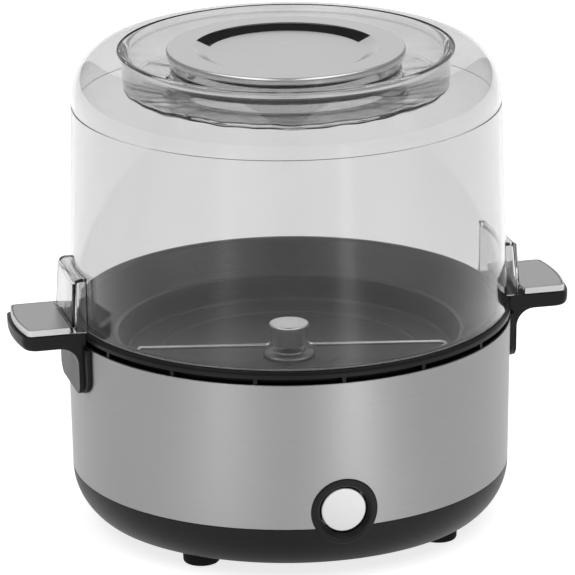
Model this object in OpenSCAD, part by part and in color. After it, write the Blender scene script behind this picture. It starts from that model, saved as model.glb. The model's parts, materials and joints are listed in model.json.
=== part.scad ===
// Popcorn maker: heated pan with a motor-driven stirrer under a clear lid that doubles as a bowl.
// Millimetres, +Z up, front (button) towards -Y, handles on +X and -X, origin at the foot plane's centre.

/* [Body] */
// radius of the steel shell at its top edge
shell_top_r = 115; // [100:0.5:130]
// radius of the steel shell at its bottom edge
shell_low_r = 113.6; // [98:0.1:130]
// height of the shell's bottom edge
shell_low_z = 30; // [20:0.5:45]
// height of the shell's top edge
shell_top_z = 107.1; // [90:0.1:125]
// thickness of the shell's sheet
shell_t = 0.8; // [0.5:0.1:1.5]
// height of the rim plane on which the lid rests
rim_z = 114.4; // [100:0.1:130]
// underside of the base tray
tray_z = 8; // [5:0.5:14]
// wall of the base tray
tray_t = 2.5; // [1.8:0.1:4]
// number of ribs round the vent slot
vent_ribs = 16; // [8:1:24]

/* [Feet] */
// radius of a rubber foot
foot_r = 9.3; // [6:0.1:14]
// distance of the feet from the middle
foot_ring_r = 89; // [70:1:95]

/* [Handles] */
// half the width of a handle
handle_w = 23.5; // [15:0.5:32]
// reach of a base handle from the middle
handle_reach = 147; // [130:1:160]
// underside of a base handle's grip
handle_low_z = 107; // [100:0.5:110]
// lower end of a base handle's leg
leg_low_z = 80.5; // [70:0.5:95]

/* [Pan] */
// inner radius of the pan at its rim
pan_rim_r = 107.3; // [95:0.1:110]
// inner radius of the pan at the crease in its wall
pan_crease_r = 88.4; // [80:0.1:95]
// height of the crease
pan_crease_z = 99; // [94:0.5:104]
// inner radius of the pan's floor
pan_floor_r = 83.5; // [70:0.5:88]

/* [Stirrer] */
// half the length of the stirrer's straight wire
wire_reach = 82; // [60:0.5:83]
// height of the wire's centre line
wire_z = 90.9; // [90:0.1:94]
// turn of the stirrer at rest
wire_turn = -11.9; // [-180:0.1:180]
// radius of the stirrer's hub
hub_r = 8.5; // [6.5:0.1:12]

/* [Button] */
// radius of the power button
button_r = 11.8; // [8:0.1:14]
// height of the power button's centre
button_z = 38.7; // [34:0.1:45]
// travel of the power button
button_travel = 2.5; // [1.5:0.1:4]

/* [Lid] */
// outer radius of the lid at its rim
lid_r = 113.7; // [105:0.1:115]
// outer radius of the lid just below its shoulder
lid_top_r = 110.8; // [100:0.1:115]
// height of the lid's crest
lid_z = 251; // [200:1:300]
// height at which the lid's shoulder starts
lid_shoulder_z = 225; // [180:1:280]
// radius of the lid's shoulder
lid_round = 24; // [15:1:30]
// wall of the lid
lid_t = 2.2; // [1.5:0.1:3]
// height of the sunk floor round the cap
tub_z = 233; // [220:1:240]
// radius of the filling hole in the sunk floor
fill_r = 48; // [35:1:55]

/* [Cap] */
// radius of the cap's steel cover
cap_r = 61.4; // [50:0.1:70]
// top of the cap
cap_z = 251.4; // [245:0.1:260]
// turn of the cap at rest
cap_turn = -10; // [-180:1:180]

/* [Hidden] */
$fn = 96;
eps = 0.01;
gap = 0.35;
lid_low_z = rim_z + gap;
tongue_r = 100;
leg_x = 116.5;
bracket_x = 119.2;
bracket_z = 143;
shelf_z = 118.1;
plate_t = 1.2;
bezel_r = 17.3;
bore_r = 12.3;
shaft_r = 2.5;
run_gap = 0.05;
hub_z = 91.4;
hub_top_z = 103.2;
wire_r = 1;
loop_c = -46.8;
loop_r = 96.8;
corner_r = 4;
corner_s = sqrt(pow(loop_r - corner_r, 2) - pow(corner_r - loop_c, 2));
corner_a = atan2(corner_r - loop_c, corner_s);
reflector_z = 62;
pan_low_z = 84;
heater_low_z = 80;
element_r = 56;
cup_low_z = tub_z + gap;
cup_r = 59.6;
flat_z = cap_z - 2.6;
flat_r = 41;
slot_r = 47.5;
cap_sheet = 0.8;
grip_r = 50;
bracket_turns = [0, 180];
foot_turns = [45, 135, 225, 315];
post_turns = [20, 160, 200, 340];
post_r = 92;
screw_turns = [30, 150, 210, 330];
spacer_turns = [90, 210, 330];
handle_screw_y = 17;
handle_screw_z = 90;
gland_z = 20;

// points of an arc, from angle a to angle b
function arc(cx, cy, r, a, b, n) =
  [for (i = [0 : n]) [cx + r * cos(a + (b - a) * i / n), cy + r * sin(a + (b - a) * i / n)]];

// points of the lid's shoulder, a slightly squared quarter ellipse, from angle first
function shoulder(cx, cz, rx, rz, first, n) =
  [for (i = [0 : n]) let (t = abs(first - 90 * i / n))
    [cx + rx * pow(cos(t), 0.9), cz + rz * pow(sin(t), 0.9)]];

// shell radius at height z
function shell_r(z) =
  shell_low_r + (shell_top_r - shell_low_r) * (z - shell_low_z) / (shell_top_z - shell_low_z);

// lid's outer radius at height z
function lid_r_at(z) =
  lid_r + (lid_top_r - lid_r) * (z - lid_low_z) / (lid_shoulder_z - lid_low_z);

// rounded tongue in plan: straight sides, an end that follows a large arc, rounded corners
module tongue(reach, w, rc, x0) {
  cx = reach - tongue_r;
  kx = cx + sqrt(pow(tongue_r - rc, 2) - pow(w - rc, 2));
  turn = asin((w - rc) / (tongue_r - rc));
  polygon(concat(
    [[x0, -w]],
    arc(kx, rc - w, rc, -90, -turn, 5),
    [for (i = [1 : 15]) [cx + tongue_r * cos(turn * (i / 8 - 1)), tongue_r * sin(turn * (i / 8 - 1))]],
    arc(kx, w - rc, rc, turn, 90, 5),
    [[x0, w]]));
}

// cylinder along Y from y0 to y1 at x, z
module along_y(x, z, y0, y1, r) {
  translate([x, y1, z]) rotate([90, 0, 0]) cylinder(r = r, h = y1 - y0);
}

// cylinder along X from x0 to x1 at y, z
module along_x(y, z, x0, x1, r) {
  translate([x0, y, z]) rotate([0, 90, 0]) cylinder(r = r, h = x1 - x0);
}

// solid that fills the shell and the rim above it, grown by e
module body_solid(e) {
  low = shell_low_z - 20;
  rotate_extrude($fn = 180)
    polygon([
      [0, low], [shell_r(low) + e, low], [shell_top_r + e, shell_top_z],
      [shell_top_r + e, shell_top_z + 30], [0, shell_top_z + 30]]);
}

// round rod between two points
module rod(a, b, r) {
  d = b - a;
  h = norm(d);
  translate(a)
    rotate([0, acos(d[2] / h), atan2(d[1], d[0])])
      cylinder(r = r, h = h, $fn = 24);
}

// insulated lead through a list of points
module lead(points, r) {
  for (i = [0 : len(points) - 2]) rod(points[i], points[i + 1], r + 0.15 * (i % 2));
  for (i = [1 : len(points) - 2]) translate(points[i]) sphere(r = r + 0.5, $fn = 24);
}

// pan-head screw pointing up, head underside at z = 0
module screw(r, len, head_r, head_h) {
  translate([0, 0, -head_h / 2]) cylinder(r = r, h = len + head_h / 2, $fn = 32);
  translate([0, 0, -head_h]) cylinder(r = head_r, h = head_h, $fn = 48);
}

// ---- base ----

module base_tray() {
  round_r = 28.1;
  cx = shell_low_r - round_r;
  low_a = -asin((shell_low_z - tray_z) / round_r);
  in_r = round_r - tray_t;
  in_a = -asin((shell_low_z - tray_z - tray_t) / in_r);
  wall_in = shell_low_r - tray_t;
  color([0.05, 0.05, 0.05])
  difference() {
    union() {
      rotate_extrude($fn = 180)
        polygon(concat(
          [[70, 10.05], [78, 10.05], [78, tray_z]],
          arc(cx, shell_low_z, round_r, low_a, 0, 12),
          [[112.5, shell_low_z], [112.5, shell_low_z + 6], [wall_in - 0.6, shell_low_z + 6],
           [wall_in - 0.6, shell_low_z]],
          arc(cx, shell_low_z, in_r, 0, in_a, 10),
          [[82, tray_z + tray_t], [82, 12.5], [70, 12.5]]));
      intersection() {
        along_y(0, button_z, -125, -98, bezel_r);
        translate([0, 0, 12]) cylinder(r = 114.6, h = 60);
      }
      translate([-9, -88, tray_z + tray_t - eps]) cube([18, 17, 28 - tray_z - tray_t]);
      along_y(0, gland_z, 103.9, 111.2, 8.6);
      for (a = post_turns) rotate([0, 0, a]) translate([post_r, 0, tray_z + 1])
        cylinder(r = 4.5, h = reflector_z - tray_z - 1);
    }
    along_y(0, button_z, -125, -90, bore_r);
    along_y(0, button_z, -106, -90, 14.2);
    translate([0, -112.6, button_z]) rotate([90, 0, 0]) cylinder(r1 = bore_r, r2 = bore_r + 1.6, h = 2.6);
    along_y(0, gland_z, 99, 120, 6.1);
    along_y(0, gland_z, 111.2, 120, 8.3);
    for (a = foot_turns) rotate([0, 0, a]) translate([foot_ring_r, 0, 0]) cylinder(r = 3.05, h = 14);
    for (a = screw_turns) rotate([0, 0, a]) translate([74, 0, 0]) cylinder(r = 1.55, h = 14);
    for (a = post_turns) rotate([0, 0, a]) translate([post_r, 0, 40]) cylinder(r = 1.55, h = 30);
  }
}

module bottom_plate() {
  color([0.12, 0.12, 0.12])
  difference() {
    translate([0, 0, tray_z]) cylinder(r = 77.6, h = 2, $fn = 180);
    for (a = screw_turns) rotate([0, 0, a]) translate([74, 0, 0]) cylinder(r = 1.7, h = 14);
    for (i = [0 : 11]) rotate([0, 0, i * 30 + 15]) translate([30, -2, 0]) cube([30, 4, 14]);
  }
}

module base_screws() {
  color([0.6, 0.6, 0.6])
  for (a = screw_turns) rotate([0, 0, a]) translate([74, 0, tray_z]) screw(1.5, 4, 3, 1.6);
}

module foot(turn) {
  color([0.06, 0.06, 0.06])
  rotate([0, 0, turn]) translate([foot_ring_r, 0, 0])
    rotate_extrude()
      polygon(concat(
        [[0, 0], [foot_r - 1.6, 0]],
        arc(foot_r - 1.6, 1.6, 1.6, -90, 0, 5),
        [[foot_r + 0.4, tray_z], [3, tray_z], [3, 10.6], [4.2, 10.6], [3.4, 12.6], [0, 12.6]]));
}

module steel_shell() {
  color([0.62, 0.62, 0.62])
  difference() {
    rotate_extrude($fn = 180)
      polygon([
        [shell_low_r - shell_t, shell_low_z], [shell_low_r, shell_low_z],
        [shell_top_r, shell_top_z - 0.3], [shell_top_r - 0.3, shell_top_z],
        [shell_top_r - shell_t, shell_top_z]]);
    along_y(0, button_z, -125, -90, bezel_r + 0.05);
    for (t = bracket_turns) rotate([0, 0, t])
      for (s = [-1, 1]) along_x(s * handle_screw_y, handle_screw_z, 100, 125, 1.7);
  }
}

module vent_ring() {
  color([0.05, 0.05, 0.05])
  union() {
    rotate_extrude($fn = 180)
      polygon([
        [108, 98], [110, 98], [110, 110.3], [115, 110.3], [115, 112.4], [114.4, 113.9],
        [113.2, rim_z], [108.3, rim_z], [108, rim_z - 0.3]]);
    rotate_extrude($fn = 180)
      polygon([[112.3, 105.2], [113.9, 105.2], [113.9, shell_top_z], [112.3, shell_top_z]]);
    for (i = [0 : vent_ribs - 1]) rotate([0, 0, 90 + i * 360 / vent_ribs])
      intersection() {
        translate([109.5, -1, 104]) cube([6, 2, 6.4]);
        union() {
          translate([0, 0, shell_top_z]) cylinder(r = 114.4, h = 8);
          cylinder(r = 113.5, h = 120);
        }
      }
  }
}

module base_handle_shape() {
  fillet = 9.5;
  color([0.05, 0.05, 0.05])
  difference() {
    intersection() {
      rotate([90, 0, 0]) linear_extrude(height = 2 * handle_w + 2, center = true)
        polygon(concat(
          [[108, rim_z], [handle_reach + 1, rim_z], [handle_reach + 1, 113.6],
           [handle_reach - 0.6, 109.4], [handle_reach - 1.9, handle_low_z + 0.5]],
          [[handle_reach - 3.4, handle_low_z]],
          arc(leg_x + fillet, handle_low_z - fillet, fillet, 90, 180, 10),
          [[leg_x - 0.3, leg_low_z], [108, leg_low_z]]));
      translate([0, 0, 60]) linear_extrude(height = 70) tongue(handle_reach, handle_w, 4, 100);
      rotate([90, 0, 90]) translate([0, 0, 100]) linear_extrude(height = 60)
        polygon(concat(
          [[handle_w + 1, 130], [-handle_w - 1, 130]],
          [[-handle_w - 1, leg_low_z + 9]],
          arc(8 - handle_w, leg_low_z + 8, 8.2, 180, 270, 7),
          arc(handle_w - 8, leg_low_z + 8, 8.2, 270, 360, 7),
          [[handle_w + 1, leg_low_z + 9]]));
    }
    body_solid(0.1);
    for (s = [-1, 1]) along_x(s * handle_screw_y, handle_screw_z, 100, 116, 1.55);
  }
}

module handle_screws() {
  color([0.6, 0.6, 0.6])
  for (t = bracket_turns) rotate([0, 0, t])
    for (s = [-1, 1]) translate([112, s * handle_screw_y, handle_screw_z])
      rotate([0, 90, 0]) screw(1.5, 3.9, 3, 1.8);
}

// ---- pan and heater ----

module pan() {
  rim_out = 107.8;
  color([0.28, 0.28, 0.28])
  rotate_extrude($fn = 180)
    polygon(concat(
      [[6.1, pan_low_z], [74, pan_low_z], [83, 85.6], [86.6, 88.6], [pan_crease_r + 1.6, pan_crease_z - 0.8],
       [rim_out - 1, rim_z - 1.9], [rim_out, rim_z - 1.1], [rim_out, rim_z - 0.3], [rim_out - 0.3, rim_z],
       [pan_rim_r, rim_z], [pan_crease_r + 1, pan_crease_z + 0.9], [pan_crease_r, pan_crease_z - 0.6],
       [pan_floor_r + 1.7, 89.6]],
      arc(pan_floor_r - 0.4, 89.8, 2, -5, -85, 5),
      [[68.4, 87], [68, 86.7], [14, 85.5], [6.1, 85.5]]));
}

module pan_bush() {
  color([0.55, 0.55, 0.55])
  rotate_extrude()
    polygon([
      [shaft_r + run_gap, 72], [6, 72], [6, 85.5], [13.5, 85.5], [13.5, 86.6], [12.6, 87.3],
      [8.6, 87.9], [7.6, 88.8], [shaft_r + run_gap, 88.8]]);
}

module bush_nut() {
  color([0.6, 0.6, 0.6])
  difference() {
    translate([0, 0, 74.5]) cylinder(r = 10, h = 3.5, $fn = 6);
    translate([0, 0, 70]) cylinder(r = 6.03, h = 12);
  }
}

module heater_plate() {
  color([0.75, 0.75, 0.76])
  difference() {
    union() {
      translate([0, 0, heater_low_z]) cylinder(r = 70, h = pan_low_z - heater_low_z, $fn = 120);
      translate([0, 0, 78]) cylinder(r = 14, h = 3);
    }
    translate([0, 0, 70]) cylinder(r = 6.1, h = 20);
    translate([0, 0, 78.5]) rotate_extrude($fn = 120) translate([element_r, 0]) circle(r = 3.35);
    for (a = spacer_turns) rotate([0, 0, a]) translate([36, 0, 70]) cylinder(r = 1.55, h = 13);
  }
}

module heating_element() {
  color([0.4, 0.4, 0.4])
  union() {
    translate([0, 0, 78.5]) rotate([0, 0, 20]) rotate_extrude(angle = 320, $fn = 120)
      translate([element_r, 0]) circle(r = 3.3);
    for (a = [20, 340]) rotate([0, 0, a]) translate([element_r, 0, 0]) {
      translate([0, 0, 70]) cylinder(r = 2.6, h = 8.2);
      translate([0, 0, 66]) cylinder(r = 1.2, h = 5);
    }
  }
}

module thermostat() {
  color([0.15, 0.1, 0.08])
  translate([26, 22, 0]) union() {
    translate([0, 0, 72.5]) cylinder(r = 8, h = 7.5);
    translate([-3.2, -13, 74]) cube([6.4, 26, 0.8]);
  }
}

module thermal_fuse() {
  color([0.85, 0.82, 0.75])
  translate([-28, 24, 0]) union() {
    translate([-5, -3, 75.5]) cube([10, 6, 4.5]);
    along_x(0, 77.5, -9, 9, 2);
  }
}

module pan_spacers() {
  color([0.7, 0.7, 0.7])
  for (a = spacer_turns) rotate([0, 0, a]) translate([36, 0, reflector_z + 0.8])
    difference() {
      cylinder(r = 4, h = heater_low_z - reflector_z - 0.8);
      translate([0, 0, -1]) cylinder(r = 1.7, h = 30);
    }
}

module pan_screws() {
  color([0.6, 0.6, 0.6])
  for (a = spacer_turns) rotate([0, 0, a]) translate([36, 0, reflector_z]) screw(1.5, 20.5, 3, 1.8);
}

module heat_reflector() {
  color([0.8, 0.8, 0.8])
  difference() {
    rotate_extrude($fn = 120)
      polygon([
        [10.5, reflector_z], [97, reflector_z], [103.4, 74], [103.4, 76], [102.6, 76],
        [102.6, 74.3], [96.6, reflector_z + 0.8], [10.5, reflector_z + 0.8]]);
    for (a = post_turns) rotate([0, 0, a]) translate([post_r, 0, 50]) cylinder(r = 1.7, h = 20);
    for (a = spacer_turns) rotate([0, 0, a]) translate([36, 0, 50]) cylinder(r = 1.7, h = 20);
    translate([44, 24, 50]) cylinder(r = 5, h = 20);
  }
}

module reflector_screws() {
  color([0.6, 0.6, 0.6])
  for (a = post_turns) rotate([0, 0, a]) translate([post_r, 0, reflector_z + 0.8])
    rotate([180, 0, 0]) screw(1.5, 14, 3, 1.8);
}

// ---- motor and electrics ----

module motor_bracket() {
  color([0.65, 0.65, 0.65])
  difference() {
    union() {
      translate([-40, -16, 56]) cube([80, 32, 1.5]);
      for (s = [-1, 1]) {
        translate([s * 39.25 - 0.75, -16, 56]) cube([1.5, 32, 6]);
        translate([s * 44 - 5.5, -16, 60.5]) cube([11, 32, 1.5]);
      }
    }
    translate([0, 0, 50]) cylinder(r = 10, h = 20);
    for (s = [-1, 1]) translate([s * 31, 0, 50]) cylinder(r = 1.7, h = 20);
    for (a = spacer_turns) rotate([0, 0, a]) translate([36, 0, 50]) cylinder(r = 5, h = 20);
  }
}

module gear_motor() {
  color([0.55, 0.55, 0.5])
  difference() {
    union() {
      translate([0, 0, 33]) cylinder(r = 25, h = 20);
      translate([0, 0, 53 - eps]) cylinder(r = 9, h = 3);
      translate([-36, -7, 53]) cube([72, 14, 3]);
      translate([-8, 24, 36]) cube([16, 8, 10]);
    }
    translate([0, 0, 47]) cylinder(r = 3 + run_gap, h = 12);
    for (s = [-1, 1]) translate([s * 31, 0, 50]) cylinder(r = 1.55, h = 20);
  }
}

module motor_screws() {
  color([0.6, 0.6, 0.6])
  for (s = [-1, 1]) translate([s * 31, 0, 57.5]) rotate([180, 0, 0]) screw(1.5, 4.5, 3, 1.8);
}

module switch_body() {
  color([0.1, 0.1, 0.1])
  difference() {
    union() {
      translate([-9, -90, 28]) cube([18, 22, 21.5]);
      for (x = [-5, 5]) translate([x - 1.6, -68 - eps, button_z - 0.4]) cube([3.2, 6, 0.8]);
    }
    translate([-3.05, -91, button_z - 3.05]) cube([6.1, 17, 6.1]);
  }
}

module terminal_block() {
  color([0.85, 0.83, 0.78])
  difference() {
    translate([-15, 74, 12.5]) cube([30, 13, 12]);
    for (x = [-9, 0, 9]) translate([x, 80.5, 14]) cylinder(r = 2.2, h = 12);
  }
}

module cord_gland() {
  color([0.08, 0.08, 0.08])
  difference() {
    union() {
      along_y(0, gland_z, 111.25, 115, 7.9);
      along_y(0, gland_z, 102, 111.3, 6.05);
      along_y(0, gland_z, 101, 103.85, 7.6);
    }
    along_y(0, gland_z, 99, 120, 3.6);
  }
}

module wiring() {
  color([0.75, 0.72, 0.6])
  union() {
    lead([[-9, 80.5, 15], [-9, 80.5, 29], [-58, 44, 29], [-58, -44, 29], [-24, -56, 39.1], [-5, -60.5, 39.1]], 1.2);
    lead([[5, -60.5, 38.2], [30, -50, 38.2], [44, -20, 38.2], [44, 24, 38.2], [44, 24, 70], [30, 33.5, 73.3]], 1.2);
    lead([[9, 80.5, 15], [9, 80.5, 32], [4, 50, 41], [4, 33.5, 41]], 1.2);
  }
}

// ---- drive ----

module motor_spindle() {
  color([0.7, 0.7, 0.7])
  translate([0, 0, 48]) cylinder(r = 3, h = 13);
}

module drive_coupler() {
  color([0.9, 0.9, 0.88])
  difference() {
    translate([0, 0, 58.2]) cylinder(r = 7.5, h = 12);
    translate([0, 0, 58]) cylinder(r = 3.02, h = 3.02);
    translate([0, 0, 63.5]) cylinder(r = shaft_r + 0.02, h = 8);
  }
}

module drive_shaft() {
  color([0.75, 0.75, 0.75])
  difference() {
    translate([0, 0, 63.6]) cylinder(r = shaft_r, h = 33.9);
    translate([shaft_r - 0.6, -6, 89.4]) cube([6, 12, 12]);
  }
}

module shaft_clip() {
  color([0.5, 0.5, 0.5])
  translate([0, 0, 70.6]) rotate_extrude() translate([shaft_r + 0.02, 0]) square([2.4, 0.8]);
}

// ---- stirrer ----

module stirrer_hub() {
  color([0.72, 0.72, 0.72])
  rotate([0, 0, wire_turn]) difference() {
    rotate_extrude()
      polygon(concat(
        [[0, hub_z], [hub_r - 0.4, hub_z], [hub_r, hub_z + 0.4], [hub_r, 100.2], [10.2, 100.2], [10.5, 100.6]],
        arc(9.2, 101.9, 1.3, 0, 90, 5),
        [[0, hub_top_z]]));
    rotate([0, 0, -wire_turn]) difference() {
      translate([0, 0, hub_z - 1]) cylinder(r = shaft_r + run_gap, h = 7.3);
      translate([shaft_r - 0.6 + run_gap, -6, hub_z - 2]) cube([6, 12, 12]);
    }
    for (s = [-1, 1]) translate([9 * s, 0, hub_z - 1]) cylinder(r = wire_r + 0.05, h = 11.1, $fn = 32);
  }
}

module stirrer_wire() {
  color([0.8, 0.8, 0.8])
  rotate([0, 0, wire_turn]) translate([0, 0, wire_z]) union() {
    for (s = [-1, 1]) {
      translate([9 * s, 0, 0]) cylinder(r = wire_r, h = 10.4, $fn = 32);
      translate([9 * s, 0, 0]) sphere(r = wire_r, $fn = 32);
      rod([9 * s, 0, 0], [corner_s * s, 0, 0], wire_r);
    }
    translate([corner_s, -corner_r, 0]) rotate([0, 0, -corner_a])
      rotate_extrude(angle = 90 + corner_a, $fn = 48) translate([corner_r, 0]) circle(r = wire_r, $fn = 32);
    translate([-corner_s, -corner_r, 0]) rotate([0, 0, 90])
      rotate_extrude(angle = 90 + corner_a, $fn = 48) translate([corner_r, 0]) circle(r = wire_r, $fn = 32);
    for (s = [-1, 1]) {
      translate([corner_s * s, 0, 0]) sphere(r = wire_r + 0.1, $fn = 32);
      translate([s * loop_r * cos(corner_a), -loop_c - loop_r * sin(corner_a), 0])
        sphere(r = wire_r + 0.1, $fn = 32);
    }
    translate([0, -loop_c, 0]) rotate([0, 0, 180 + corner_a])
      rotate_extrude(angle = 180 - 2 * corner_a, $fn = 180) translate([loop_r, 0]) circle(r = wire_r, $fn = 32);
  }
}

// ---- power button ----

module power_button() {
  color([0.85, 0.85, 0.85])
  translate([0, 0, button_z]) rotate([90, 0, 0]) rotate_extrude()
    polygon(concat(
      [[0, 95.5], [2.8, 95.5], [2.8, 103.5], [13.4, 103.5], [13.4, 105.6], [button_r, 105.6]],
      arc(button_r - 1, 110.4, 1, 0, 90, 4),
      [[0, 111.8]]));
}

module switch_plunger() {
  color([0.9, 0.9, 0.9])
  translate([-2.95, -95.5, button_z - 2.95]) cube([5.9, 16, 5.9]);
}

// ---- lid ----

module lid_bracket() {
  r = 4;
  w = handle_w;
  t = lid_t;
  difference() {
    union() {
      difference() {
        bracket_block(bracket_x, w, bracket_z, r);
        bracket_block(bracket_x - t, w - t, bracket_z - t, r - 1.8);
      }
      translate([0, 0, lid_low_z]) linear_extrude(height = shelf_z - lid_low_z)
        tongue(handle_reach - 2, w - 0.2, 3, bracket_x - t);
    }
    translate([0, 0, shelf_z - plate_t]) linear_extrude(height = 2)
      tongue(handle_reach - 3, w - 1.2, 2, bracket_x + 1);
    translate([0, 0, lid_low_z - 1])
      cylinder(r1 = lid_r - 0.6, r2 = lid_r_at(160) - 0.6, h = 160 - lid_low_z + 1, $fn = 180);
  }
}

module bracket_block(x, w, top, r) {
  intersection() {
    rotate([90, 0, 0]) linear_extrude(height = 2 * w, center = true) union() {
      translate([100, 100]) square([x - r - 100, top - 100]);
      translate([100, 100]) square([x - 100, top - r - 100]);
      translate([x - r, top - r]) circle(r = r);
    }
    translate([0, 0, lid_low_z]) linear_extrude(height = 40) union() {
      translate([100, -w]) square([x - r - 100, 2 * w]);
      translate([100, r - w]) square([x - 100, 2 * (w - r)]);
      for (s = [-1, 1]) translate([x - r, s * (w - r)]) circle(r = r);
    }
  }
}

module lid_bowl() {
  cx = lid_top_r - 0.2 - lid_round;
  cz = lid_shoulder_z;
  rise = lid_z - cz;
  t = lid_t;
  color([0.85, 0.9, 0.92, 0.35])
  union() {
    rotate_extrude($fn = 180)
      polygon(concat(
        [[lid_r - t, lid_low_z], [lid_r, lid_low_z], [lid_top_r, cz - 1.9], [lid_top_r - 0.2, cz - 1.9]],
        shoulder(cx, cz, lid_round, rise, 0, 14),
        [[86.2, lid_z - 0.5]],
        arc(83.7, lid_z - 3, 3.1, 60, 176, 7),
        [[80.9, tub_z + 1]],
        [[79.9, tub_z], [61.9, tub_z], [61.9, tub_z + 1.8], [60.4, tub_z + 1.8], [60.4, tub_z],
         [fill_r, tub_z], [fill_r, tub_z - t], [81.2, tub_z - t], [83.1, tub_z - t + 1.4]],
        [[84.2, lid_z - 4], [85.4, lid_z - t]],
        shoulder(cx, cz, lid_round - t, rise - t, 90, 12)));
    for (a = bracket_turns) rotate([0, 0, a]) lid_bracket();
  }
}

module lid_plate() {
  color([0.66, 0.66, 0.66])
  translate([0, 0, shelf_z - plate_t]) linear_extrude(height = plate_t)
    tongue(handle_reach - 3.1, handle_w - 1.3, 1.9, bracket_x + 1.1);
}

// ---- cap ----

module cap_cover() {
  s = cap_sheet;
  color([0.7, 0.7, 0.7])
  rotate([0, 0, cap_turn]) difference() {
    rotate_extrude($fn = 180)
      polygon(concat(
        [[0, flat_z - s], [flat_r + 0.2, flat_z - s], [slot_r + 0.2, cap_z - s], [cap_r - 2, cap_z - s]],
        arc(cap_r - 2, cap_z - 2, 2 - s, 90, 0, 5),
        [[cap_r - s, 248.2], [cap_r - 1.5, 247.4], [cap_r - 0.7, 247.4], [cap_r, 248.2]],
        arc(cap_r - 2, cap_z - 2, 2, 0, 90, 6),
        [[slot_r, cap_z], [flat_r, flat_z], [0, flat_z]]));
    rotate([0, 0, 20]) rotate_extrude(angle = 140, $fn = 180)
      translate([flat_r - 0.4, 240]) square([slot_r - flat_r + 0.8, 20]);
  }
}

module cap_grip() {
  color([0.03, 0.03, 0.03])
  rotate_extrude($fn = 120)
    polygon([
      [0, 243], [grip_r, 243], [grip_r, cap_z - cap_sheet], [48.5, cap_z - cap_sheet],
      [49, 244.5], [39.5, 244.5], [39.5, flat_z - cap_sheet], [0, flat_z - cap_sheet]]);
}

module measuring_cup() {
  color([0.85, 0.9, 0.92, 0.35])
  rotate_extrude($fn = 120)
    polygon([
      [57.6, cup_low_z], [cup_r, cup_low_z], [cup_r, 250.2], [58.2, 250.2], [58.2, 243],
      [0, 243], [0, 241], [56.4, 241], [57.6, 239.8]]);
}

base_tray();
bottom_plate();
base_screws();
foot(-45);  // foot_front_right
foot(45);  // foot_back_right
foot(135);  // foot_back_left
foot(225);  // foot_front_left
steel_shell();
vent_ring();
base_handle_shape();  // base_handle_right
rotate([0, 0, 180]) base_handle_shape();  // base_handle_left
handle_screws();
pan();
pan_bush();
bush_nut();
heater_plate();
heating_element();
thermostat();
thermal_fuse();
pan_spacers();
pan_screws();
heat_reflector();
reflector_screws();
motor_bracket();
gear_motor();
motor_screws();
switch_body();
terminal_block();
cord_gland();
wiring();
motor_spindle();
drive_coupler();
drive_shaft();
shaft_clip();
stirrer_hub();
stirrer_wire();
power_button();
switch_plunger();
lid_bowl();
lid_plate();  // lid_plate_right
rotate([0, 0, 180]) lid_plate();  // lid_plate_left
cap_cover();
cap_grip();
measuring_cup();
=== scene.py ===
import json
import math

import bmesh
import bpy
from mathutils import Matrix, Vector


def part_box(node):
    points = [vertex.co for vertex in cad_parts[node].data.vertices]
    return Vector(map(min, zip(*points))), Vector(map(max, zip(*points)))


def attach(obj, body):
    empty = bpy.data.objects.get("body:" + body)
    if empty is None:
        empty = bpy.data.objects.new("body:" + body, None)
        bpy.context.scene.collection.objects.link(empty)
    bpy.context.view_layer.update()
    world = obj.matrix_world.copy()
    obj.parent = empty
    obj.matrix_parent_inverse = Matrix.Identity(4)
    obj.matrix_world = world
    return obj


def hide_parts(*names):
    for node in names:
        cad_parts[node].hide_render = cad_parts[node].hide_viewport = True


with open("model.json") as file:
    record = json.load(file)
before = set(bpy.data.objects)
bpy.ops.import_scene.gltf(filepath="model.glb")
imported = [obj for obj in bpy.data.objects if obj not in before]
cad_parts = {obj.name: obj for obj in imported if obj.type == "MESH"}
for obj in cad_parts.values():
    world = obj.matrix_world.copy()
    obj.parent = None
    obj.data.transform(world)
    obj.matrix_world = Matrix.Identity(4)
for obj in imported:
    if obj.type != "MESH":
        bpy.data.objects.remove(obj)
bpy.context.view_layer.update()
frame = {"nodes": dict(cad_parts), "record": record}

NODES = frame["nodes"]
MM = 0.001
# a noise node's value lies mostly between these two
NOISE_LOW, NOISE_HIGH = 0.3, 0.7
# bump depths in metres, of a polished or a coated face and of a brushed one
POLISHED, COATED, BRUSHED = 0.000004, 0.000003, 0.000012
# steps round a big turned part
FINE_ROUND = 288


# ---------------------------------------------------------------- materials

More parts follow.
